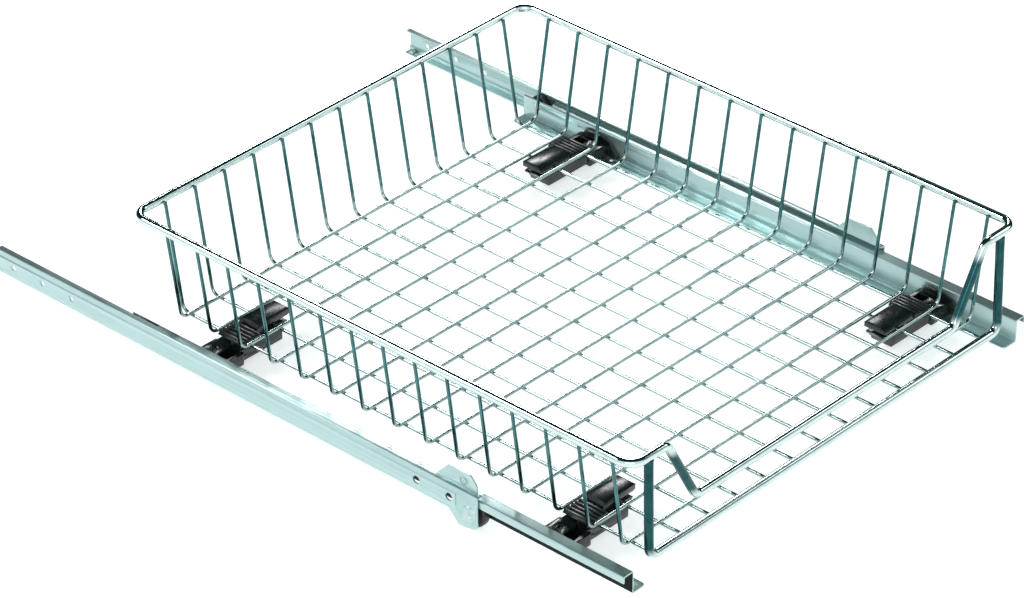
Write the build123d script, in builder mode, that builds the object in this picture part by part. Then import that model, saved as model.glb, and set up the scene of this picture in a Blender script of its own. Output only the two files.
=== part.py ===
from build123d import *
import os

os.makedirs("parts", exist_ok=True)

# ---------------------------------------------------------------------------
# Pull-out wire basket on roller runners, for a 500 mm cabinet.
# Frame: +X to the right seen from the front, +Y to the back of the cabinet,
# +Z up. The origin is under the middle of the whole assembly at its lowest
# level, with the drawer standing partly out of the cabinet, as at rest.
# ---------------------------------------------------------------------------

# the basket's own middle wire and floor level in this frame
yb = -69.75          # y of the middle cross wire
zf = 24.3            # z of the axis of the floor cross wires

# wire mesh
pitch = 31.5         # spacing of the wires, both ways
n_cross = 15         # cross wires (left to right)
n_long = 13          # long wires (front to back)
wire_r = 1.4         # thin wire radius
floor_half = 200.5   # where the floor bends up at the sides
floor_back = 230.0   # where the floor bends up at the back, from yb
wire_bend = 8.0
long_drop = 2.6      # the long wires lie this far below the cross wires

# heavy wire
rim_r = 3.5
rim_half = 218.5
rim_back = 251.0
rim_front = -243.0
rim_z = 87.0
drop_top = 181.0     # half width where the front rim starts to drop
drop_low = 148.0     # half width of the low run
low_z = 28.0
post_half = 200.5
foot_run_y = -245.5
foot_run_z = 2.0

# drawer runner (moves)
sheet = 1.2
web_in = 220.3       # inner face of the web
ledge_in = 207.0
ledge_z = -17.0      # underside of the ledge
run_top = 2.5
lip_out = 231.2
lip_z = -3.5
run_front = -248.5
run_len = 500.0

# cabinet runner (fixed)
cab_out = 234.0      # face that lies on the cabinet side
cab_top = 6.4
cab_bot = -14.6
cab_front = -111.5
cab_len = 500.0

# rollers
front_roller_r = 12.4
front_axle_y = -103.0
front_axle_z = -11.4
rear_roller_r = 8.6
rear_axle_y = 238.0
rear_axle_z = -4.1
pin_r = 2.5

# screw holes in the cabinet runner
front_holes = (-84.5, -52.5)
front_hole_r = 3.3
rear_holes = (306.0, 338.0, 370.0)
rear_hole_r = 2.3
hole_z = -4.1

# clips
clip_front_y = -173.25   # middle between two cross wires
clip_rear_y = 173.25
tongue_tip = 140.0
tongue_end = 174.0
grip_end = 197.0


def section(y):
    """Plane across the runners at y: local x is X, local y is Z."""
    return Plane(origin=(0, y, 0), x_dir=(1, 0, 0), z_dir=(0, -1, 0))


def side(x):
    """Plane along the runners at x: local x is Y, local y is Z."""
    return Plane(origin=(x, 0, 0), x_dir=(0, 1, 0), z_dir=(1, 0, 0))


# ---------------------------------------------------------------------------
# Cross wires: fifteen U-shaped wires, side wall - floor - side wall. They lean
# out to the inner face of the top rim and end flush with its top.
# ---------------------------------------------------------------------------
wire_top_z = rim_z + 2.6
wall_run = 13.9          # how far the side wall leans out over its height
with BuildPart() as cross_wires:
    for i in range(n_cross):
        y = yb + (n_cross // 2 - i) * pitch
        with BuildLine() as u_path:
            FilletPolyline(
                (-floor_half - wall_run, y, zf + wire_top_z),
                (-floor_half, y, zf),
                (floor_half, y, zf),
                (floor_half + wall_run, y, zf + wire_top_z),
                radius=wire_bend,
            )
        with BuildSketch(Plane(origin=u_path.line @ 0, z_dir=u_path.line % 0)):
            Circle(wire_r)
        sweep(path=u_path.line)

# Long wires: thirteen L-shaped wires under the cross wires, from under the
# front foot wire back along the floor and up the back wall.
back_run = 16.4
with BuildPart() as long_wires:
    for j in range(n_long):
        x = (j - n_long // 2) * pitch
        with BuildLine() as l_path:
            FilletPolyline(
                (x, yb + foot_run_y - 1.6, zf - long_drop),
                (x, yb + floor_back, zf - long_drop),
                (x, yb + floor_back + back_run, zf + wire_top_z),
                radius=wire_bend,
            )
        with BuildSketch(Plane(origin=l_path.line @ 0, z_dir=l_path.line % 0)):
            Circle(wire_r)
        sweep(path=l_path.line)

# ---------------------------------------------------------------------------
# Top rim: one closed loop of heavy wire. At the front it drops to a low run,
# so that the contents can be reached.
# ---------------------------------------------------------------------------
with BuildPart() as top_rim:
    with BuildLine() as rim_path:
        FilletPolyline(
            (0, yb + rim_back, zf + rim_z),
            (rim_half, yb + rim_back, zf + rim_z),
            (rim_half, yb + rim_front, zf + rim_z),
            (drop_top, yb + rim_front, zf + rim_z),
            (drop_low, yb + rim_front, zf + low_z),
            (0, yb + rim_front, zf + low_z),
            radius=(13, 12, 9, 9),
        )
    with BuildSketch(Plane(origin=rim_path.line @ 0, z_dir=rim_path.line % 0)):
        Circle(rim_r)
    sweep(path=rim_path.line)
    mirror(about=Plane.YZ)

# Front foot wire: two posts under the rim's front corners, joined along the
# floor by a bottom run on which the long wires end.
with BuildPart() as front_frame:
    post_top = zf + rim_z - rim_r + 1.2
    with BuildLine() as post_path:
        FilletPolyline(
            (-post_half, yb + rim_front, post_top),
            (-post_half, yb + foot_run_y, zf + foot_run_z),
            (post_half, yb + foot_run_y, zf + foot_run_z),
            (post_half, yb + rim_front, post_top),
            radius=8,
        )
    with BuildSketch(Plane(origin=post_path.line @ 0, z_dir=post_path.line % 0)):
        Circle(rim_r)
    sweep(path=post_path.line)

# ---------------------------------------------------------------------------
# Drawer runner, right: folded sheet with a ledge inward under the basket, a
# web, a flange outward over the front roller and a lip down.
# ---------------------------------------------------------------------------
with BuildPart() as right_drawer_rail:
    with BuildSketch(section(yb + run_front + run_len)):
        with BuildLine():
            Polyline(
                (ledge_in, zf + ledge_z),
                (web_in + sheet, zf + ledge_z),
                (web_in + sheet, zf + run_top - sheet),
                (lip_out - sheet, zf + run_top - sheet),
                (lip_out - sheet, zf + lip_z),
                (lip_out, zf + lip_z),
                (lip_out, zf + run_top),
                (web_in, zf + run_top),
                (web_in, zf + ledge_z + sheet),
                (ledge_in, zf + ledge_z + sheet),
                close=True,
            )
        make_face()
    extrude(amount=run_len)
    # bends of the folded sheet
    along = right_drawer_rail.edges().filter_by(Axis.Y)
    outer = [
        e for e in along
        if any(
            abs(e.center().X - a) < 0.01 and abs(e.center().Z - b) < 0.01
            for a, b in (
                (web_in + sheet, zf + ledge_z),
                (lip_out, zf + run_top),
                (web_in, zf + run_top),
            )
        )
    ]
    fillet(outer, radius=1.7)
    along = right_drawer_rail.edges().filter_by(Axis.Y)
    inner = [
        e for e in along
        if any(
            abs(e.center().X - a) < 0.01 and abs(e.center().Z - b) < 0.01
            for a, b in (
                (web_in, zf + ledge_z + sheet),
                (lip_out - sheet, zf + run_top - sheet),
                (web_in + sheet, zf + run_top - sheet),
            )
        )
    ]
    fillet(inner, radius=0.5)
    # the flange and lip stop short of the rear roller, with a slanted end
    with BuildSketch(Plane.XY.offset(zf + lip_z - 1)):
        with BuildLine():
            Polyline(
                (web_in + sheet, yb + 222.5),
                (web_in + sheet, yb + 260),
                (lip_out + 3, yb + 260),
                (lip_out + 3, yb + 227.5),
                close=True,
            )
        make_face()
    extrude(amount=12, mode=Mode.SUBTRACT)
    # raised seat of the rear roller's pin
    with BuildSketch(side(web_in + sheet)):
        with Locations((yb + rear_axle_y, zf + rear_axle_z)):
            Circle(5.5)
    extrude(amount=0.4)
    with BuildSketch(side(web_in - 2)):
        with Locations((yb + rear_axle_y, zf + rear_axle_z)):
            Circle(pin_r)
    extrude(amount=8, mode=Mode.SUBTRACT)
    # locating holes in the ledge, one pair for each clip
    with BuildSketch(Plane.XY.offset(zf + ledge_z - 1)):
        with Locations(*[
            (213.6, yb + c + d) for c in (clip_front_y, clip_rear_y) for d in (-22, 22)
        ]):
            Circle(1.6)
    extrude(amount=4, mode=Mode.SUBTRACT)
    # rounded front corner of the ledge
    ledge_corner = [
        e for e in right_drawer_rail.edges().filter_by(Axis.Z)
        if abs(e.center().X - ledge_in) < 0.01 and e.center().Z < zf + ledge_z + sheet
    ]
    fillet(ledge_corner, radius=3)

with BuildPart() as left_drawer_rail:
    mirror(right_drawer_rail.part, about=Plane.YZ)

# ---------------------------------------------------------------------------
# Cabinet runner, right: folded channel with a raised band along its web that
# lies on the cabinet side, and a plate at its front for the front roller.
# ---------------------------------------------------------------------------
strip_out = cab_out - 0.8       # outer face of the web above and below the band
band_top, band_bot = 0.6, -8.8
band_front = -90.5
with BuildPart() as right_cabinet_rail:
    with BuildSketch(section(yb + cab_front + cab_len)) as channel:
        with BuildLine():
            Polyline(
                (226.5, zf + cab_bot),
                (strip_out, zf + cab_bot),
                (strip_out, zf + band_bot - 1),
                (cab_out, zf + band_bot),
                (cab_out, zf + band_top),
                (strip_out, zf + band_top + 1),
                (strip_out, zf + cab_top),
                (228.0, zf + cab_top),
                (228.0, zf + cab_top - sheet),
                (strip_out - sheet, zf + cab_top - sheet),
                (strip_out - sheet, zf + band_top + 1.4),
                (cab_out - sheet, zf + band_top + 0.4),
                (cab_out - sheet, zf + band_bot - 0.4),
                (strip_out - sheet, zf + band_bot - 1.4),
                (strip_out - sheet, zf + cab_bot + sheet),
                (226.5, zf + cab_bot + sheet),
                close=True,
            )
        make_face()
        # bends of the channel
        corners = channel.vertices()
        fillet(
            [v for v in corners if abs(v.X - strip_out) < 0.01 and v.Y > zf + cab_top - 0.01]
            + [v for v in corners if abs(v.X - strip_out) < 0.01 and v.Y < zf + cab_bot + 0.01],
            radius=1.5,
        )
    extrude(amount=cab_len - (band_front - cab_front))
    # front plate in the plane of the web, with the lower ear for the roller
    with BuildSketch(side(strip_out - sheet)) as ear:
        with BuildLine():
            Polyline(
                (yb + band_front + 0.8, zf + cab_top - 1.6),
                (yb + cab_front, zf + cab_top - 1.6),
                (yb + cab_front, zf - 19.8),
                (yb - 108.0, zf - 22.2),
                (yb - 98.5, zf - 24.3),
                (yb - 93.0, zf - 24.3),
                (yb - 90.0, zf - 20.5),
                (yb - 83.5, zf + cab_bot + 1.0),
                (yb - 83.5, zf + band_bot - 1.5),
                (yb + band_front + 0.8, zf + band_bot - 1.5),
                close=True,
            )
        make_face()
        fillet(
            [v for v in ear.vertices() if v.Y < zf - 19 and v.Y > zf - 24.9], radius=1.6
        )
    extrude(amount=sheet)
    # top flange over the front plate
    with BuildSketch(section(yb + band_front + 0.8)) as brow:
        with BuildLine():
            Polyline(
                (strip_out, zf + cab_top - 3),
                (strip_out, zf + cab_top),
                (228.0, zf + cab_top),
                (228.0, zf + cab_top - sheet),
                (strip_out - sheet, zf + cab_top - sheet),
                (strip_out - sheet, zf + cab_top - 3),
                close=True,
            )
        make_face()
        fillet(
            [v for v in brow.vertices() if abs(v.X - strip_out) < 0.01 and v.Y > zf + cab_top - 0.01],
            radius=1.5,
        )
    extrude(amount=band_front + 0.8 - cab_front)
    # upper ear, bent up from the inner edge of the top flange
    with BuildSketch(side(228.0)) as tab:
        with BuildLine():
            Polyline(
                (yb - 66.0, zf + cab_top - sheet),
                (yb - 79.5, zf + 19.2),
                (yb - 101.5, zf + 19.2),
                (yb - 107.5, zf + 12.0),
                (yb - 107.5, zf + cab_top - sheet),
                close=True,
            )
        make_face()
        fillet([v for v in tab.vertices() if v.Y > zf + 11], radius=2.6)
    extrude(amount=sheet)
    # shallow pressed ring in the upper ear
    with BuildSketch(side(228.0 + sheet)):
        with Locations((yb - 95.0, zf + 11.8)):
            Circle(4.0)
            Circle(2.2, mode=Mode.SUBTRACT)
    extrude(amount=-0.5, mode=Mode.SUBTRACT)
    # bottom flange is cut back behind the roller, with a slanted corner
    with BuildSketch(Plane.XY.offset(zf + cab_bot - 0.5)):
        with BuildLine():
            Polyline(
                (224, yb - 92),
                (strip_out - sheet - 0.4, yb - 92),
                (strip_out - sheet - 0.4, yb - 87),
                (224, yb - 80),
                close=True,
            )
        make_face()
    extrude(amount=sheet + 1, mode=Mode.SUBTRACT)
    # raised seat of the front roller's pin
    with BuildSketch(side(strip_out)):
        with Locations((yb + front_axle_y, zf + front_axle_z)):
            Circle(6.8)
    extrude(amount=0.4, taper=30)
    with BuildSketch(side(strip_out - 4)):
        with Locations((yb + front_axle_y, zf + front_axle_z)):
            Circle(pin_r)
    extrude(amount=8, mode=Mode.SUBTRACT)
    # screw holes through the band
    with BuildSketch(side(cab_out - 4)):
        with Locations(*[(yb + h, zf + hole_z) for h in front_holes]):
            Circle(front_hole_r)
        with Locations(*[(yb + h, zf + hole_z) for h in rear_holes]):
            Circle(rear_hole_r)
    extrude(amount=8, mode=Mode.SUBTRACT)
    # stops pressed up from the bottom flange, in front of and behind the
    # rear roller's travel
    for stop_y in (-8.0, 383.2):
        with BuildSketch(section(yb + stop_y + 2.0)) as stop:
            with BuildLine():
                Polyline(
                    (227.2, zf + cab_bot + sheet - 0.2),
                    (227.9, zf + cab_bot + sheet + 2.2),
                    (230.8, zf + cab_bot + sheet + 2.2),
                    (231.5, zf + cab_bot + sheet - 0.2),
                    close=True,
                )
            make_face()
        extrude(amount=4.0)
    # the two flanges are solids of their own, joined to the web at the bends,
    # and so is the upper ear
    split(bisect_by=Plane.YZ.offset(strip_out - sheet - 0.3), keep=Keep.BOTH)
    split(bisect_by=Plane.XY.offset(zf + cab_top), keep=Keep.BOTH)

with BuildPart() as left_cabinet_rail:
    mirror(right_cabinet_rail.part, about=Plane.YZ)
    split(bisect_by=Plane.YZ.offset(-(strip_out - sheet - 0.3)), keep=Keep.BOTH)
    split(bisect_by=Plane.XY.offset(zf + cab_top), keep=Keep.BOTH)

# ---------------------------------------------------------------------------
# Rollers and their riveted pins.
# ---------------------------------------------------------------------------
with BuildPart() as right_front_roller:
    r = front_roller_r
    z0 = zf + front_axle_z
    with BuildSketch(section(yb + front_axle_y)):
        with BuildLine():
            Polyline(
                (224.2, z0 + pin_r + 0.05),
                (224.2, z0 + 4.7),
                (222.9, z0 + 4.7),
                (222.9, z0 + r - 1.0),
                (223.9, z0 + r),
                (228.6, z0 + r),
                (229.5, z0 + r - 1.0),
                (229.5, z0 + 8.7),
                (228.3, z0 + 8.5),
                (228.3, z0 + 5.6),
                (229.5, z0 + 5.4),
                (229.5, z0 + pin_r + 0.05),
                close=True,
            )
        make_face()
    revolve(axis=Axis((0, yb + front_axle_y, z0), (1, 0, 0)))

with BuildPart() as left_front_roller:
    mirror(right_front_roller.part, about=Plane.YZ)

with BuildPart() as right_front_axle:
    z0 = zf + front_axle_z
    with BuildSketch(section(yb + front_axle_y)):
        with BuildLine():
            Polyline(
                (222.3, z0),
                (222.3, z0 + 3.6),
                (222.8, z0 + 4.2),
                (223.8, z0 + 4.2),
                (223.8, z0 + pin_r),
                (229.9, z0 + pin_r),
                (229.9, z0 + 4.0),
                (232.0, z0 + 4.0),
                (232.0, z0 + pin_r),
                (233.6, z0 + pin_r),
                (233.6, z0 + 3.8),
                (234.0, z0 + 3.0),
                (234.0, z0),
                close=True,
            )
        make_face()
    revolve(axis=Axis((0, yb + front_axle_y, z0), (1, 0, 0)))

with BuildPart() as left_front_axle:
    mirror(right_front_axle.part, about=Plane.YZ)

with BuildPart() as right_rear_roller:
    r = rear_roller_r
    z0 = zf + rear_axle_z
    with BuildSketch(section(yb + rear_axle_y)):
        with BuildLine():
            Polyline(
                (223.2, z0 + pin_r + 0.05),
                (223.2, z0 + 5.2),
                (224.2, z0 + 5.4),
                (224.2, z0 + 7.0),
                (223.2, z0 + 7.2),
                (223.2, z0 + r - 0.9),
                (224.1, z0 + r),
                (229.1, z0 + r),
                (230.0, z0 + r - 0.9),
                (230.0, z0 + 4.7),
                (228.8, z0 + 4.7),
                (228.8, z0 + pin_r + 0.05),
                close=True,
            )
        make_face()
    revolve(axis=Axis((0, yb + rear_axle_y, z0), (1, 0, 0)))

with BuildPart() as left_rear_roller:
    mirror(right_rear_roller.part, about=Plane.YZ)

with BuildPart() as right_rear_axle:
    z0 = zf + rear_axle_z
    with BuildSketch(section(yb + rear_axle_y)):
        with BuildLine():
            Polyline(
                (219.5, z0),
                (219.5, z0 + 2.8),
                (220.0, z0 + 3.6),
                (220.3, z0 + 3.6),
                (220.3, z0 + pin_r),
                (221.9, z0 + pin_r),
                (221.9, z0 + 4.0),
                (222.8, z0 + 4.0),
                (222.8, z0 + pin_r),
                (229.2, z0 + pin_r),
                (229.2, z0 + 4.2),
                (230.2, z0 + 4.2),
                (230.6, z0 + 3.6),
                (230.6, z0),
                close=True,
            )
        make_face()
    revolve(axis=Axis((0, yb + rear_axle_y, z0), (1, 0, 0)))

with BuildPart() as left_rear_axle:
    mirror(right_rear_axle.part, about=Plane.YZ)

# ---------------------------------------------------------------------------
# Clip body, rear right. It stands between two cross wires: a foot on the
# runner's ledge with a hook under it and a heel against the web, a fork
# that takes one long wire, a trough for the next long wire, and a T-slot for
# the latch that closes the trough. The same moulding, turned half round, is
# used on the left.
# ---------------------------------------------------------------------------
cy = yb + clip_rear_y
slot_lo, slot_hi = zf - 4.6, zf - 0.8
with BuildPart() as rear_right_clip:
    # base under the wires, tongue over them and the pillar between, in profile
    with BuildSketch(section(cy + 7.1)) as fork:
        with BuildLine():
            Polyline(
                (tongue_tip, zf + 4.2),
                (tongue_tip + 1.2, zf + 5.0),
                (tongue_end - 0.6, zf + 5.0),
                (tongue_end + 1.2, zf - 1.3),
                (185.4, zf - 1.3),
                (185.4, slot_lo),
                (grip_end, slot_lo),
                (grip_end, zf - 15.0),
                (149.5, zf - 15.0),
                (148.4, zf - 9.0),
                (143.0, zf - 6.8),
                (142.2, slot_lo - 1.0),
                (143.6, slot_lo),
                (162.0, slot_lo),
                (162.0, slot_hi),
                (142.0, slot_hi),
                (tongue_tip, slot_hi + 1.0),
                close=True,
            )
        make_face()
    extrude(amount=19.3)
    # wider base beside the tongue
    with BuildSketch(Plane.XY.offset(zf - 15.0)) as base_plan:
        with Locations(((152.0 + 199.0) / 2, cy)):
            RectangleRounded(47.0, 24.6, 2.0)
    extrude(amount=10.4)
    # slightly crowned top of the tongue: both long edges fall away
    with BuildSketch(side(tongue_tip - 1)):
        with BuildLine():
            Polyline(
                (cy - 12.3, zf + 6), (cy - 12.3, zf + 3.2), (cy - 6.5, zf + 5.05), (cy - 6.5, zf + 6),
                close=True,
            )
        make_face()
        with BuildLine():
            Polyline(
                (cy + 7.2, zf + 6), (cy + 7.2, zf + 4.2), (cy + 3.5, zf + 5.05), (cy + 3.5, zf + 6),
                close=True,
            )
        make_face()
    extrude(amount=tongue_end - tongue_tip + 4, mode=Mode.SUBTRACT)
    # foot on the ledge
    with BuildSketch(Plane.XY.offset(zf - 15.7)):
        with Locations(((196.0 + 219.7) / 2, cy)):
            RectangleRounded(23.7, 30.8, 2.5)
    extrude(amount=9.7)
    # hook round the ledge's inner edge
    with BuildSketch(section(cy + 12.0)) as hook:
        with BuildLine():
            Polyline(
                (198.0, zf - 15.2),
                (198.0, zf - 18.2),
                (199.2, zf - 19.4),
                (211.5, zf - 19.4),
                (212.2, zf - 18.6),
                (211.0, zf - 17.3),
                (206.6, zf - 17.3),
                (206.6, zf - 15.2),
                close=True,
            )
        make_face()
    extrude(amount=24.0)
    # heel against the web, running down to a toe on the ledge
    with BuildSketch(side(217.2)) as heel:
        with BuildLine():
            Polyline(
                (cy + 12.5, zf - 7.0),
                (cy + 9.0, zf - 0.9),
                (cy - 6.0, zf - 0.9),
                (cy - 17.0, zf - 4.0),
                (cy - 24.5, zf - 13.0),
                (cy - 24.5, zf - 15.7),
                (cy + 12.5, zf - 15.7),
                close=True,
            )
        make_face()
        fillet([v for v in heel.vertices() if v.Y > zf - 1.0], radius=3.0)
    extrude(amount=2.5)
    # trough for the outer long wire between the deck and the foot
    with BuildSketch(section(cy + 16)):
        with Locations(((185.4 + 191.6) / 2, slot_lo + 5)):
            Rectangle(191.6 - 185.4, 10)
    extrude(amount=32, mode=Mode.SUBTRACT)
    # T-slot for the latch's leg
    with BuildSketch(Plane.XY.offset(zf - 13.0)):
        with Locations(((191.1 + 212.4) / 2, cy + 6.5)):
            Rectangle(212.4 - 191.1, 13.2)
    extrude(amount=2.8, mode=Mode.SUBTRACT)
    with BuildSketch(Plane.XY.offset(zf - 13.0)):
        with Locations(((191.1 + 212.4) / 2, cy + 6.5)):
            Rectangle(212.4 - 191.1, 10.4)
    extrude(amount=14, mode=Mode.SUBTRACT)
    # small pin hole in the foot
    with BuildSketch(Plane.XY.offset(zf - 9.0)):
        with Locations((205.5, cy - 7.5)):
            Circle(1.5)
    extrude(amount=6, mode=Mode.SUBTRACT)
    with BuildSketch(Plane.XY.offset(zf - 6.4)):
        with Locations((205.5, cy - 7.5)):
            Circle(3.2)
            Circle(2.4, mode=Mode.SUBTRACT)
    extrude(amount=2, mode=Mode.SUBTRACT)
    # the base is moulded hollow from below, with one rib
    with BuildSketch(Plane.XY.offset(zf - 15.5)):
        with Locations((160.6, cy - 2.6), (178.2, cy)):
            RectangleRounded(14.6, 15.0, 1.0)
    extrude(amount=8.0, mode=Mode.SUBTRACT)

# Latch of the rear right clip: a ribbed thumb slide over the outer long wire,
# with a T-shaped leg in the clip's slot. It slides outward to free the wire.
with BuildPart() as rear_right_latch:
    with BuildSketch(section(cy + 12.6)) as grip:
        with BuildLine():
            Polyline(
                (176.2, zf - 0.8),
                (176.2, zf + 0.6),
                (177.4, zf + 1.0),
                (grip_end - 1.4, zf + 0.2),
                (grip_end, zf - 0.8),
                close=True,
            )
        make_face()
        for k in range(5):
            cx = 178.8 + 3.9 * k
            top = 2.3 - 0.16 * k
            with BuildLine():
                Polyline(
                    (cx - 1.25, zf + 0.1), (cx - 0.75, zf + top), (cx + 0.75, zf + top), (cx + 1.25, zf + 0.1),
                    close=True,
                )
            make_face()
    extrude(amount=25.2)
    with BuildSketch(Plane.XY.offset(zf - 12.6)):
        with Locations(((191.5 + 196.9) / 2, cy + 6.5)):
            Rectangle(5.4, 12.4)
    extrude(amount=2.0)
    with BuildSketch(Plane.XY.offset(zf - 12.6)):
        with Locations(((191.5 + 196.9) / 2, cy + 6.5)):
            Rectangle(5.4, 9.6)
    extrude(amount=12.4)

# The other three clips and latches: the right one again at the front, and both
# turned half round for the left.
dy = clip_front_y - clip_rear_y
with BuildPart() as front_right_clip:
    with Locations((0, dy, 0)):
        add(rear_right_clip.part)
with BuildPart() as front_right_latch:
    with Locations((0, dy, 0)):
        add(rear_right_latch.part)
with BuildPart() as rear_left_clip:
    with Locations(Location((0, 2 * cy, 0), (0, 0, 180))):
        add(rear_right_clip.part)
with BuildPart() as rear_left_latch:
    with Locations(Location((0, 2 * cy, 0), (0, 0, 180))):
        add(rear_right_latch.part)
with BuildPart() as front_left_clip:
    with Locations(Location((0, 2 * cy + dy, 0), (0, 0, 180))):
        add(rear_right_clip.part)
with BuildPart() as front_left_latch:
    with Locations(Location((0, 2 * cy + dy, 0), (0, 0, 180))):
        add(rear_right_latch.part)

# ---------------------------------------------------------------------------
# Labels and files
# ---------------------------------------------------------------------------
cross_wires.part.label = "cross_wires"
long_wires.part.label = "long_wires"
top_rim.part.label = "top_rim"
front_frame.part.label = "front_frame"
right_drawer_rail.part.label = "right_drawer_rail"
left_drawer_rail.part.label = "left_drawer_rail"
right_cabinet_rail.part.label = "right_cabinet_rail"
left_cabinet_rail.part.label = "left_cabinet_rail"
right_front_roller.part.label = "right_front_roller"
left_front_roller.part.label = "left_front_roller"
right_front_axle.part.label = "right_front_axle"
left_front_axle.part.label = "left_front_axle"
right_rear_roller.part.label = "right_rear_roller"
left_rear_roller.part.label = "left_rear_roller"
right_rear_axle.part.label = "right_rear_axle"
left_rear_axle.part.label = "left_rear_axle"
rear_right_clip.part.label = "rear_right_clip"
rear_left_clip.part.label = "rear_left_clip"
front_right_clip.part.label = "front_right_clip"
front_left_clip.part.label = "front_left_clip"
rear_right_latch.part.label = "rear_right_latch"
rear_left_latch.part.label = "rear_left_latch"
front_right_latch.part.label = "front_right_latch"
front_left_latch.part.label = "front_left_latch"

export_step(cross_wires.part, "parts/cross_wires.step")
export_step(long_wires.part, "parts/long_wires.step")
export_step(top_rim.part, "parts/top_rim.step")
export_step(front_frame.part, "parts/front_frame.step")
export_step(right_drawer_rail.part, "parts/right_drawer_rail.step")
export_step(left_drawer_rail.part, "parts/left_drawer_rail.step")
export_step(right_cabinet_rail.part, "parts/right_cabinet_rail.step")
export_step(left_cabinet_rail.part, "parts/left_cabinet_rail.step")
export_step(right_front_roller.part, "parts/right_front_roller.step")
export_step(left_front_roller.part, "parts/left_front_roller.step")
export_step(right_front_axle.part, "parts/right_front_axle.step")
export_step(left_front_axle.part, "parts/left_front_axle.step")
export_step(right_rear_roller.part, "parts/right_rear_roller.step")
export_step(left_rear_roller.part, "parts/left_rear_roller.step")
export_step(right_rear_axle.part, "parts/right_rear_axle.step")
export_step(left_rear_axle.part, "parts/left_rear_axle.step")
export_step(rear_right_clip.part, "parts/rear_right_clip.step")
export_step(rear_left_clip.part, "parts/rear_left_clip.step")
export_step(front_right_clip.part, "parts/front_right_clip.step")
export_step(front_left_clip.part, "parts/front_left_clip.step")
export_step(rear_right_latch.part, "parts/rear_right_latch.step")
export_step(rear_left_latch.part, "parts/rear_left_latch.step")
export_step(front_right_latch.part, "parts/front_right_latch.step")
export_step(front_left_latch.part, "parts/front_left_latch.step")
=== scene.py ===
import math

import bmesh
import bpy
import numpy as np
from mathutils import Matrix, Vector


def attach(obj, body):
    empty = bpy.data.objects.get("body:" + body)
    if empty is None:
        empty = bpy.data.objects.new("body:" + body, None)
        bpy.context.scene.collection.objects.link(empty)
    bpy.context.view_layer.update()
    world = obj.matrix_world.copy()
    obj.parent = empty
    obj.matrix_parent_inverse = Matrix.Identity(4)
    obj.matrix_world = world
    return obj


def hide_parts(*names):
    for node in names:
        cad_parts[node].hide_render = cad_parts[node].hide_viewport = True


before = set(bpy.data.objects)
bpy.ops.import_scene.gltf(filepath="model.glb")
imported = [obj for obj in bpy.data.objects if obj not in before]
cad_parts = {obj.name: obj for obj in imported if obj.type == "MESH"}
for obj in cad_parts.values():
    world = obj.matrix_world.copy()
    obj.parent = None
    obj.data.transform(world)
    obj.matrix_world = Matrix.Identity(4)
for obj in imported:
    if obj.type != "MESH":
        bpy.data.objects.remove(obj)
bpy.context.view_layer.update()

MM = 0.001
YB, ZF = -69.75, 24.3        # the basket's middle cross wire and floor level, mm
rng = np.random.default_rng(7)


# --------------------------------------------------------------------------
# Materials
# --------------------------------------------------------------------------
def new_material(name):
    m = bpy.data.materials.new(name)
    m.use_nodes = True
    nt = m.node_tree
    nt.nodes.clear()
    out = nt.nodes.new("ShaderNodeOutputMaterial")
    bsdf = nt.nodes.new("ShaderNodeBsdfPrincipled")
    nt.links.new(bsdf.outputs["BSDF"], out.inputs["Surface"])
    return m, nt, bsdf


def coords(nt, scale=(1, 1, 1)):
    tc = nt.nodes.new("ShaderNodeTexCoord")
    mp = nt.nodes.new("ShaderNodeMapping")
    mp.inputs["Scale"].default_value = scale
    nt.links.new(tc.outputs["Object"], mp.inputs["Vector"])
    return mp.outputs["Vector"]


def noise(nt, vec, scale, detail=4.0, rough=0.55, dist=0.0):
    n = nt.nodes.new("ShaderNodeTexNoise")
    n.inputs["Scale"].default_value = scale
    n.inputs["Detail"].default_value = detail
    n.inputs["Roughness"].default_value = rough
    n.inputs["Distortion"].default_value = dist
    nt.links.new(vec, n.inputs["Vector"])
    return n.outputs["Fac"]


def ramp(nt, fac, stops):
    r = nt.nodes.new("ShaderNodeValToRGB")
    while len(r.color_ramp.elements) < len(stops):
        r.color_ramp.elements.new(0.5)
    for e, (p, c) in zip(r.color_ramp.elements, stops):
        e.position = p
        e.color = (c[0], c[1], c[2], 1.0) if hasattr(c, "__len__") else (c, c, c, 1.0)
    nt.links.new(fac, r.inputs["Fac"])
    return r.outputs["Color"]


def bump(nt, height, strength, distance, normal=None):
    b = nt.nodes.new("ShaderNodeBump")
    b.inputs["Strength"].default_value = strength
    b.inputs["Distance"].default_value = distance
    nt.links.new(height, b.inputs["Height"])
    if normal is not None:
        nt.links.new(normal, b.inputs["Normal"])
    return b.outputs["Normal"]


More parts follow.
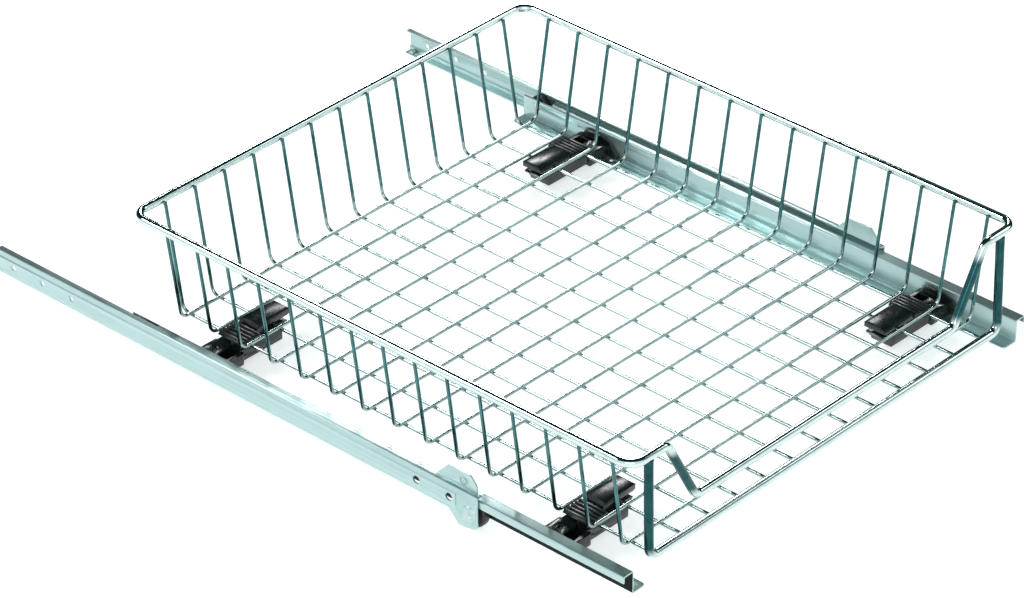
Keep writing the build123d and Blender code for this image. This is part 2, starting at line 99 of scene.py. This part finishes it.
def make_chrome(name, tint, streak, wall=None, z0=0.0, z1=0.0, z2=None, z3=None):
    """Bright plating on drawn wire: faint waviness, tiny clouding and polishing marks.
    Upright stretches carry a painted darker reflection tone, from height z0 to z1, and back from z2 to z3."""
    m, nt, b = new_material(name)
    v = coords(nt)
    cloud = noise(nt, v, 60.0, 5.0, 0.6, 0.4)
    col = ramp(nt, cloud, [(0.28, tuple(c * 0.84 for c in tint)), (0.55, tint), (0.8, tuple(min(1, c * 1.05) for c in tint))])
    if wall is not None:
        sp = nt.nodes.new("ShaderNodeSeparateXYZ")
        nt.links.new(v, sp.inputs["Vector"])
        up = nt.nodes.new("ShaderNodeMapRange")
        up.interpolation_type = "SMOOTHSTEP"
        up.inputs["From Min"].default_value = z0
        up.inputs["From Max"].default_value = z1
        nt.links.new(sp.outputs["Z"], up.inputs["Value"])
        # painted reflection: upright stretches get this darker colour by height, standing in for dark surroundings
        # reflected there; the plating is the same all over
        painted_reflection_color = ramp(nt, cloud, [(0.28, tuple(c * 0.6 for c in wall)), (0.55, wall), (0.8, tuple(min(1, c * 1.5) for c in wall))])
        part = up.outputs["Result"]
        if z2 is not None:
            down = nt.nodes.new("ShaderNodeMapRange")
            down.interpolation_type = "SMOOTHSTEP"
            down.inputs["From Min"].default_value = z2
            down.inputs["From Max"].default_value = z3
            down.inputs["To Min"].default_value = 1.0
            down.inputs["To Max"].default_value = 0.0
            nt.links.new(sp.outputs["Z"], down.inputs["Value"])
            both = nt.nodes.new("ShaderNodeMath")
            both.operation = "MULTIPLY"
            nt.links.new(part, both.inputs[0])
            nt.links.new(down.outputs["Result"], both.inputs[1])
            part = both.outputs["Value"]
        mx = nt.nodes.new("ShaderNodeMixRGB")
        nt.links.new(part, mx.inputs["Fac"])
        nt.links.new(col, mx.inputs["Color1"])
        nt.links.new(painted_reflection_color, mx.inputs["Color2"])
        col = mx.outputs["Color"]
    nt.links.new(col, b.inputs["Base Color"])
    b.inputs["Metallic"].default_value = 1.0
    rough = ramp(nt, noise(nt, v, 220.0, 6.0, 0.7), [(0.3, 0.04), (0.62, 0.07), (0.85, 0.14)])
    nt.links.new(rough, b.inputs["Roughness"])
    waves = noise(nt, v, 95.0, 2.0, 0.5)
    grain = noise(nt, v, 1400.0, 3.0, 0.6)
    n1 = bump(nt, waves, 0.35, 0.0006 * streak)
    n2 = bump(nt, grain, 0.12, 0.00003, n1)
    nt.links.new(n2, b.inputs["Normal"])
    return m


def make_rail(name, base, rough0, painted_shade_band=None):
    """Satin coat on folded strip: rolling lines along the strip, small clouding, worn edges.
    The last argument gives from and to how far from the middle, and below which height, the web inside the channel is
    painted near black as shade."""
    m, nt, b = new_material(name)
    v = coords(nt)
    along = coords(nt, (60.0, 1.6, 60.0))
    lines = noise(nt, along, 14.0, 4.0, 0.6)
    cloud = noise(nt, v, 26.0, 5.0, 0.6, 0.6)
    mix = nt.nodes.new("ShaderNodeMath")
    mix.operation = "MULTIPLY_ADD"
    nt.links.new(lines, mix.inputs[0])
    mix.inputs[1].default_value = 0.45
    nt.links.new(cloud, mix.inputs[2])
    col = ramp(nt, mix.outputs["Value"], [
        (0.45, tuple(c * 0.86 for c in base)), (0.72, base), (0.95, tuple(min(1, c * 1.10) for c in base))])
    # edges rubbed bright
    geo = nt.nodes.new("ShaderNodeNewGeometry")
    edge = ramp(nt, geo.outputs["Pointiness"], [(0.50, 0.0), (0.58, 1.0)])
    worn = nt.nodes.new("ShaderNodeMixRGB")
    worn.inputs["Color2"].default_value = (min(1, base[0] * 1.18), min(1, base[1] * 1.12), min(1, base[2] * 1.12), 1)
    nt.links.new(edge, worn.inputs["Fac"])
    nt.links.new(col, worn.inputs["Color1"])
    col = worn.outputs["Color"]
    # painted shade: the web face inside the channel is coloured near black to stand for the shade of the enclosed
    # channel
    if painted_shade_band is not None:
        sp = nt.nodes.new("ShaderNodeSeparateXYZ")
        nt.links.new(v, sp.inputs["Vector"])

        def math_node(op, a, c):
            n = nt.nodes.new("ShaderNodeMath")
            n.operation = op
            for k, w in enumerate((a, c)):
                if w is None:
                    continue
                if isinstance(w, float):
                    n.inputs[k].default_value = w
                else:
                    nt.links.new(w, n.inputs[k])
            return n.outputs["Value"]

        out_x = math_node("ABSOLUTE", sp.outputs["X"], None)
        inside = math_node("MULTIPLY", math_node("GREATER_THAN", out_x, painted_shade_band[0]), math_node("LESS_THAN", out_x, painted_shade_band[1]))
        inside = math_node("MULTIPLY", inside, math_node("LESS_THAN", sp.outputs["Z"], painted_shade_band[2]))
        grease = nt.nodes.new("ShaderNodeMixRGB")
        nt.links.new(inside, grease.inputs["Fac"])
        nt.links.new(col, grease.inputs["Color1"])
        dark = ramp(nt, cloud, [(0.3, (0.004, 0.008, 0.008)), (0.8, (0.012, 0.02, 0.02))])
        nt.links.new(dark, grease.inputs["Color2"])
        col = grease.outputs["Color"]
    nt.links.new(col, b.inputs["Base Color"])
    b.inputs["Metallic"].default_value = 0.85
    rr = ramp(nt, cloud, [(0.3, rough0 - 0.05), (0.7, rough0 + 0.07)])
    nt.links.new(rr, b.inputs["Roughness"])
    n1 = bump(nt, lines, 0.10, 0.00012)
    n2 = bump(nt, noise(nt, v, 900.0, 3.0, 0.6), 0.18, 0.00004, n1)
    nt.links.new(n2, b.inputs["Normal"])
    return m


def make_steel(name, base):
    """Zinc plating on a riveted pin: small stains and fine grain."""
    m, nt, b = new_material(name)
    v = coords(nt)
    spots = noise(nt, v, 320.0, 5.0, 0.65)
    col = ramp(nt, spots, [(0.3, tuple(c * 0.7 for c in base)), (0.6, base), (0.9, tuple(min(1, c * 1.15) for c in base))])
    nt.links.new(col, b.inputs["Base Color"])
    b.inputs["Metallic"].default_value = 1.0
    nt.links.new(ramp(nt, spots, [(0.3, 0.24), (0.8, 0.40)]), b.inputs["Roughness"])
    nt.links.new(bump(nt, noise(nt, v, 1500.0, 2.0, 0.5), 0.25, 0.00005), b.inputs["Normal"])
    return m


def make_plastic(name, base, rough0, grain_scale, grain_depth):
    """Black moulded plastic: fine spark-eroded grain, flow clouding, rubbed edges."""
    m, nt, b = new_material(name)
    v = coords(nt)
    cloud = noise(nt, v, 55.0, 5.0, 0.6, 0.8)
    col = ramp(nt, cloud, [(0.3, tuple(c * 0.6 for c in base)), (0.6, base), (0.9, tuple(c * 1.9 for c in base))])
    geo = nt.nodes.new("ShaderNodeNewGeometry")
    edge = ramp(nt, geo.outputs["Pointiness"], [(0.52, 0.0), (0.62, 1.0)])
    worn = nt.nodes.new("ShaderNodeMixRGB")
    worn.inputs["Color2"].default_value = (base[0] * 3.2, base[1] * 3.4, base[2] * 3.4, 1)
    nt.links.new(edge, worn.inputs["Fac"])
    nt.links.new(col, worn.inputs["Color1"])
    nt.links.new(worn.outputs["Color"], b.inputs["Base Color"])
    b.inputs["Metallic"].default_value = 0.0
    b.inputs["IOR"].default_value = 1.5
    nt.links.new(ramp(nt, cloud, [(0.3, rough0 - 0.06), (0.7, rough0 + 0.07)]), b.inputs["Roughness"])
    grain = noise(nt, v, grain_scale, 3.0, 0.6)
    n1 = bump(nt, cloud, 0.10, 0.0004)
    nt.links.new(bump(nt, grain, 0.35, grain_depth, n1), b.inputs["Normal"])
    return m


# the dark colour and heights after the streak value paint a darker reflection tone on the upright stretches
chrome = make_chrome("wire_chrome", (0.66, 0.77, 0.765), 0.8, (0.025, 0.095, 0.100), 0.055, 0.063, 0.098, 0.107)
chrome_post = make_chrome("post_chrome", (0.64, 0.75, 0.745), 0.8, (0.020, 0.080, 0.085), 0.027, 0.036)
chrome_thin = make_chrome("thin_wire_chrome", (0.36, 0.46, 0.455), 0.25, (0.075, 0.195, 0.195), 0.026, 0.042)
# the drawer rails get painted channel shade on the web face inside the channel
rail_mat = make_rail("rail_coat", (0.40, 0.545, 0.54), 0.30, painted_shade_band=(0.2213, 0.2299, 0.0255))
cab_mat = make_rail("cabinet_rail_coat", (0.40, 0.545, 0.54), 0.32)
pin_mat = make_steel("pin_zinc", (0.55, 0.65, 0.65))
clip_mat = make_plastic("clip_black", (0.004, 0.007, 0.007), 0.24, 900.0, 0.00005)
latch_mat = make_plastic("latch_black", (0.006, 0.009, 0.009), 0.28, 1000.0, 0.00005)
roller_mat = make_plastic("roller_black", (0.012, 0.014, 0.014), 0.42, 700.0, 0.00005)


# --------------------------------------------------------------------------
# Round wire as smooth tubes
# --------------------------------------------------------------------------
def round_corners(points, radii, step=math.radians(6)):
    """Path along straight runs, each corner rounded to its radius. Closed or open."""
    p = [np.array(q, float) for q in points]
    n = len(p)
    out = [p[0]]
    for i in range(1, n - 1):
        a, b, c = p[i - 1], p[i], p[i + 1]
        r = radii[i - 1] if hasattr(radii, "__len__") else radii
        u = (a - b) / np.linalg.norm(a - b)
        w = (c - b) / np.linalg.norm(c - b)
        turn = math.pi - math.acos(np.clip(u @ w, -1, 1))
        t = r * math.tan(turn / 2)
        m = (u + w) / np.linalg.norm(u + w)
        centre = b + m * (r / math.cos(turn / 2))
        s, e = b + u * t - centre, b + w * t - centre
        k = max(3, int(math.ceil(turn / step)))
        for j in range(k + 1):
            f = j / k
            d = (math.sin((1 - f) * turn) * s + math.sin(f * turn) * e) / math.sin(turn)
            out.append(centre + d)
    out.append(p[-1])
    return np.array(out)


def subdivide(path, longest):
    out = [path[0]]
    for a, b in zip(path[:-1], path[1:]):
        k = max(1, int(math.ceil(np.linalg.norm(b - a) / longest)))
        for j in range(1, k + 1):
            out.append(a + (b - a) * j / k)
    return np.array(out)


def tube(path, radius, sides, closed=False, cap=True, verts=None, faces=None):
    """Adds a round tube along path, its ring kept from twisting, with domed ends."""
    n = len(path)
    if closed:
        tan = np.roll(path, -1, 0) - np.roll(path, 1, 0)
    else:
        tan = np.gradient(path, axis=0)
    tan /= np.linalg.norm(tan, axis=1)[:, None]
    ref = np.array([0.0, 0.0, 1.0])
    if abs(tan[0] @ ref) > 0.9:
        ref = np.array([0.0, 1.0, 0.0])
    u = ref - tan[0] * (tan[0] @ ref)
    u /= np.linalg.norm(u)
    rings = []
    for i in range(n):
        u = u - tan[i] * (tan[i] @ u)
        u /= np.linalg.norm(u)
        rings.append((path[i], u.copy(), np.cross(tan[i], u), radius))
    if cap and not closed:
        r = radius
        first, last = rings[0], rings[-1]
        c0 = [(first[0] + tan[0] * r * (1 - math.sin(a)) * 0.45, first[1], first[2], r * math.cos(a)) for a in (1.35, 0.9, 0.45)]
        c1 = [(last[0] - tan[-1] * r * (1 - math.sin(a)) * 0.45, last[1], last[2], r * math.cos(a)) for a in (0.45, 0.9, 1.35)]
        rings[0] = (first[0] + tan[0] * r * 0.45, first[1], first[2], r)
        rings[-1] = (last[0] - tan[-1] * r * 0.45, last[1], last[2], r)
        rings = c0 + rings + c1
    base = len(verts)
    ang = np.linspace(0, 2 * math.pi, sides, endpoint=False)
    for p, a, b, r in rings:
        for t in ang:
            verts.append(tuple((p + (a * math.cos(t) + b * math.sin(t)) * r) * MM))
    m = len(rings)
    for i in range(m if closed else m - 1):
        for j in range(sides):
            a = base + i * sides + j
            b = base + i * sides + (j + 1) % sides
            c = base + ((i + 1) % m) * sides + (j + 1) % sides
            d = base + ((i + 1) % m) * sides + j
            faces.append((a, d, c, b))
    if cap and not closed:
        faces.append(tuple(base + j for j in range(sides)))
        faces.append(tuple(base + (m - 1) * sides + j for j in reversed(range(sides))))


def nugget(centre, size, verts, faces, rings=5, sides=10):
    """Small weld bead: a flattened ball with a slightly uneven outline."""
    base = len(verts)
    c = np.array(centre, float)
    wob = 1 + rng.normal(0, 0.05, 3)
    sx, sy, sz = np.array(size) * wob
    verts.append(tuple((c + (0, 0, sz)) * MM))
    for i in range(1, rings):
        th = math.pi * i / rings
        for j in range(sides):
            ph = 2 * math.pi * j / sides
            d = np.array([sx * math.sin(th) * math.cos(ph), sy * math.sin(th) * math.sin(ph), sz * math.cos(th)])
            verts.append(tuple((c + d) * MM))
    verts.append(tuple((c - (0, 0, sz)) * MM))
    last = len(verts) - 1
    for j in range(sides):
        faces.append((base, base + 1 + j, base + 1 + (j + 1) % sides))
        k = base + 1 + (rings - 2) * sides
        faces.append((last, k + (j + 1) % sides, k + j))
    for i in range(rings - 2):
        for j in range(sides):
            a = base + 1 + i * sides + j
            b = base + 1 + i * sides + (j + 1) % sides
            faces.append((a, a + sides, b + sides, b))


def mesh_object(name, verts, faces, material, smooth=True):
    me = bpy.data.meshes.new(name)
    me.from_pydata(verts, [], faces)
    me.update()
    bm = bmesh.new()
    bm.from_mesh(me)
    bmesh.ops.recalc_face_normals(bm, faces=bm.faces)
    bm.to_mesh(me)
    bm.free()
    if smooth:
        me.polygons.foreach_set("use_smooth", [True] * len(me.polygons))
    me.materials.append(material)
    ob = bpy.data.objects.new(name, me)
    bpy.context.scene.collection.objects.link(ob)
    return ob


def at(path):
    return np.array(path, float) + np.array([0.0, YB, ZF])


PITCH, N_CROSS, N_LONG, WIRE_R = 31.5, 15, 13, 1.4
FLOOR_HALF, WALL_RUN, TOP = 200.5, 13.9, 87.4

# cross wires ---------------------------------------------------------------
verts, faces = [], []
for i in range(N_CROSS):
    y = (N_CROSS // 2 - i) * PITCH
    pts = [(-FLOOR_HALF - WALL_RUN, y, TOP), (-FLOOR_HALF, y, 0), (FLOOR_HALF, y, 0), (FLOOR_HALF + WALL_RUN, y, TOP)]
    tube(at(subdivide(round_corners(pts, 8.0), 12.0)), WIRE_R, 16, verts=verts, faces=faces)
cross = mesh_object("basket_cross_wires", verts, faces, chrome_thin)
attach(cross, "basket")
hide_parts("cross_wires")

# long wires ------------------------------------------------------------------
verts, faces = [], []
for j in range(N_LONG):
    x = (j - N_LONG // 2) * PITCH
    pts = [(x, -244.6, -2.6), (x, 230.0, -2.6), (x, 246.4, TOP)]
    tube(at(subdivide(round_corners(pts, 8.0), 12.0)), WIRE_R, 16, verts=verts, faces=faces)
long_ = mesh_object("basket_long_wires", verts, faces, chrome_thin)
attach(long_, "basket")
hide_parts("long_wires")

# weld beads where the floor wires cross, and where wires meet the heavy wire -----
verts, faces = [], []
for i in range(N_CROSS):
    for j in range(N_LONG):
        nugget(at([((j - 6) * PITCH, (7 - i) * PITCH, -1.3)])[0], (1.55, 1.55, 0.75), verts, faces)
for i in range(N_CROSS):
    for s in (-1, 1):
        nugget(at([(s * 214.9, (7 - i) * PITCH, 85.2)])[0], (0.6, 1.55, 1.1), verts, faces)
for j in range(N_LONG):
    nugget(at([((j - 6) * PITCH, 247.0, 85.2)])[0], (1.55, 0.6, 1.1), verts, faces)
    nugget(at([((j - 6) * PITCH, -243.6, -1.2)])[0], (1.6, 1.1, 0.45), verts, faces)
welds = mesh_object("basket_weld_beads", verts, faces, chrome_thin)
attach(welds, "basket")

# top rim ---------------------------------------------------------------------
half = [(0, 251.0, 87.0), (218.5, 251.0, 87.0), (218.5, -243.0, 87.0), (181.0, -243.0, 87.0), (148.0, -243.0, 28.0), (0, -243.0, 28.0)]
right = subdivide(round_corners(half, (13, 12, 9, 9), math.radians(4.5)), 14.0)
left = right[::-1][1:-1] * np.array([-1, 1, 1])
verts, faces = [], []
tube(at(np.vstack([right, left])), 3.5, 32, closed=True, verts=verts, faces=faces)
rim = mesh_object("basket_top_rim", verts, faces, chrome)
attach(rim, "basket")
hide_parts("top_rim")

# front foot wire with its posts -------------------------------------------------
post = [(-200.5, -243.0, 84.9), (-200.5, -245.5, 2.0), (200.5, -245.5, 2.0), (200.5, -243.0, 84.9)]
verts, faces = [], []
tube(at(subdivide(round_corners(post, 8.0, math.radians(4.5)), 14.0)), 3.5, 32, verts=verts, faces=faces)
for s in (-1, 1):   # fillets of weld metal at the tops of the posts
    nugget(at([(s * 200.5, -243.0, 84.0)])[0], (4.0, 3.9, 1.5), verts, faces, 8, 20)
foot = mesh_object("basket_front_posts", verts, faces, chrome_post)
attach(foot, "basket")
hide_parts("front_frame")


# --------------------------------------------------------------------------
# Folded and moulded pieces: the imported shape, with its edges rounded
# --------------------------------------------------------------------------
def rounded_copy(node, name, body, material, width, segments=2, angle=28, seam=None):
    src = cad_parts[node]
    me = src.data.copy()
    me.name = name
    bm = bmesh.new()
    bm.from_mesh(me)
    if seam is not None:   # the folds are one sheet: no wall where its flanges meet the web
        inner = [f for f in bm.faces if all(abs(abs(v.co.x) - seam) < 1e-5 for v in f.verts)]
        bmesh.ops.delete(bm, geom=inner, context="FACES")
    bmesh.ops.remove_doubles(bm, verts=bm.verts, dist=2e-6)
    open_edges = sum(1 for e in bm.edges if not e.is_manifold)
    if open_edges:
        print("open edges on", name, open_edges)
    bmesh.ops.dissolve_limit(bm, angle_limit=math.radians(1.0), verts=bm.verts, edges=bm.edges)
    bm.to_mesh(me)
    bm.free()
    me.materials.clear()
    me.materials.append(material)
    me.polygons.foreach_set("material_index", [0] * len(me.polygons))
    ob = bpy.data.objects.new(name, me)
    bpy.context.scene.collection.objects.link(ob)
    bev = ob.modifiers.new("edges", "BEVEL")
    bev.width = width * MM
    bev.segments = segments
    bev.limit_method = "ANGLE"
    bev.angle_limit = math.radians(angle)
    bev.use_clamp_overlap = True
    bev.miter_outer = "MITER_ARC"
    bev.harden_normals = False
    me.polygons.foreach_set("use_smooth", [True] * len(me.polygons))
    bpy.context.view_layer.objects.active = ob
    for o in bpy.context.selected_objects:
        o.select_set(False)
    ob.select_set(True)
    bpy.ops.object.modifier_apply(modifier=bev.name)
    me = ob.data
    me.polygons.foreach_set("use_smooth", [True] * len(me.polygons))
    me.set_sharp_from_angle(angle=math.radians(35))
    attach(ob, body)
    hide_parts(node)
    return ob


for sd in ("left", "right"):
    rounded_copy(f"{sd}_drawer_rail", f"{sd}_drawer_runner", "basket", rail_mat, 0.22)
    rounded_copy(f"{sd}_cabinet_rail", f"{sd}_cabinet_runner", "cabinet", cab_mat, 0.22, seam=0.2317)
    for w, body in (("front", "cabinet"), ("rear", "basket")):
        rounded_copy(f"{sd}_{w}_roller", f"{sd}_{w}_wheel", f"{sd}_{w}_roller", roller_mat, 0.25)
        rounded_copy(f"{sd}_{w}_axle", f"{sd}_{w}_pin", body, pin_mat, 0.15)
for c in ("front_left", "front_right", "rear_left", "rear_right"):
    rounded_copy(f"{c}_clip", f"{c}_clip_body", "basket", clip_mat, 0.35)
    rounded_copy(f"{c}_latch", f"{c}_thumb_latch", f"{c}_latch", latch_mat, 0.25)


# --------------------------------------------------------------------------
# Floor, light, camera
# --------------------------------------------------------------------------
def floor():
    m, nt, b = new_material("floor_white")
    v = coords(nt)
    nt.links.new(ramp(nt, noise(nt, v, 3.0, 3.0, 0.5), [(0.3, (0.93, 0.94, 0.94)), (0.7, (0.95, 0.955, 0.955))]), b.inputs["Base Color"])
    b.inputs["Roughness"].default_value = 0.9
    b.inputs["Emission Color"].default_value = (0.97, 1.0, 1.0, 1.0)
    b.inputs["Emission Strength"].default_value = 0.58
    me = bpy.data.meshes.new("floor")
    s = 14.0
    me.from_pydata([(-s, -s, -0.0006), (s, -s, -0.0006), (s, s, -0.0006), (-s, s, -0.0006)], [], [(0, 1, 2, 3)])
    me.materials.append(m)
    ob = bpy.data.objects.new("floor", me)
    bpy.context.scene.collection.objects.link(ob)


floor()


def area(name, loc, target, size, size_y, power, color=(1, 1, 1)):
    li = bpy.data.lights.new(name, "AREA")
    li.shape = "RECTANGLE"
    li.size, li.size_y = size, size_y
    li.energy = power
    li.color = color
    ob = bpy.data.objects.new(name, li)
    ob.location = loc
    d = Vector(target) - Vector(loc)
    ob.rotation_euler = d.to_track_quat("-Z", "Y").to_euler()
    bpy.context.scene.collection.objects.link(ob)
    return ob


area("key_rear_left", (-1.9, 2.1, 2.5), (0, 0, 0.05), 1.0, 1.0, 50)
area("front_soft", (-2.3, -2.1, 1.7), (0, 0, 0.05), 2.6, 1.2, 22)
area("side_soft", (2.4, -1.4, 1.9), (0, 0, 0.05), 1.2, 1.2, 10)
area("sheen_rear_right", (2.2, 1.97, 1.95), (0, 0, 0.05), 0.8, 0.5, 24)

world = bpy.data.worlds.new("studio")
bpy.context.scene.world = world
world.use_nodes = True
wn = world.node_tree
wn.nodes.clear()
wo = wn.nodes.new("ShaderNodeOutputWorld")
bg = wn.nodes.new("ShaderNodeBackground")
wn.links.new(bg.outputs["Background"], wo.inputs["Surface"])
tc = wn.nodes.new("ShaderNodeTexCoord")
# how far a direction leans from the front of the room over the ceiling to the back wall
lean = wn.nodes.new("ShaderNodeVectorMath")
lean.operation = "DOT_PRODUCT"
lean.inputs[1].default_value = (0.502, 0.45, 0.74)
wn.links.new(tc.outputs["Generated"], lean.inputs[0])
mr = wn.nodes.new("ShaderNodeMapRange")
mr.inputs["From Min"].default_value = -1.0
mr.inputs["From Max"].default_value = 1.0
wn.links.new(lean.outputs["Value"], mr.inputs["Value"])
r = wn.nodes.new("ShaderNodeValToRGB")
stops = ((0.0, (0.95, 1.0, 1.0)), (0.54, (0.90, 0.97, 0.97)), (0.62, (0.80, 0.90, 0.90)), (0.68, (0.01, 0.035, 0.035)), (0.95, (0.006, 0.02, 0.02)), (1.0, (0.03, 0.07, 0.07)))
r.color_ramp.elements[0].position, r.color_ramp.elements[0].color = stops[0][0], (*stops[0][1], 1)
r.color_ramp.elements[1].position, r.color_ramp.elements[1].color = stops[-1][0], (*stops[-1][1], 1)
for p, c in stops[1:-1]:
    e = r.color_ramp.elements.new(p)
    e.color = (*c, 1)
wn.links.new(mr.outputs["Result"], r.inputs["Fac"])
wn.links.new(r.outputs["Color"], bg.inputs["Color"])
bg.inputs["Strength"].default_value = 1.0

# camera: fitted in a frame whose origin is the basket's middle cross wire
AZ, EL, ROLL = math.radians(-48.14589), math.radians(32.51174), math.radians(0.4033)
DIST, TX, TY, FPX = 3931.598, -48.631, 15.339, 5201.837
back = np.array([math.sin(AZ) * math.cos(EL), -math.cos(AZ) * math.cos(EL), math.sin(EL)])
rt = np.array([math.cos(AZ), math.sin(AZ), 0.0])
up = np.cross(back, rt)
R0 = rt * math.cos(ROLL) + up * math.sin(ROLL)
R1 = -rt * math.sin(ROLL) + up * math.cos(ROLL)
loc = (TX * R0 + TY * R1 + DIST * back + np.array([0.0, YB, ZF])) * MM
cam_data = bpy.data.cameras.new("camera")
cam_data.sensor_fit = "HORIZONTAL"
cam_data.sensor_width = 36.0
cam_data.lens = FPX * 36.0 / 1024.0
cam_data.clip_start = 0.05
cam_data.clip_end = 60.0
cam = bpy.data.objects.new("camera", cam_data)
bpy.context.scene.collection.objects.link(cam)
m = Matrix.Identity(4)
for i in range(3):
    m[i][0], m[i][1], m[i][2], m[i][3] = R0[i], R1[i], back[i], loc[i]
cam.matrix_world = m
bpy.context.scene.camera = cam

scene = bpy.context.scene
scene.view_settings.view_transform = "Standard"
scene.view_settings.look = "None"
scene.view_settings.exposure = 0.0
scene.view_settings.gamma = 1.0
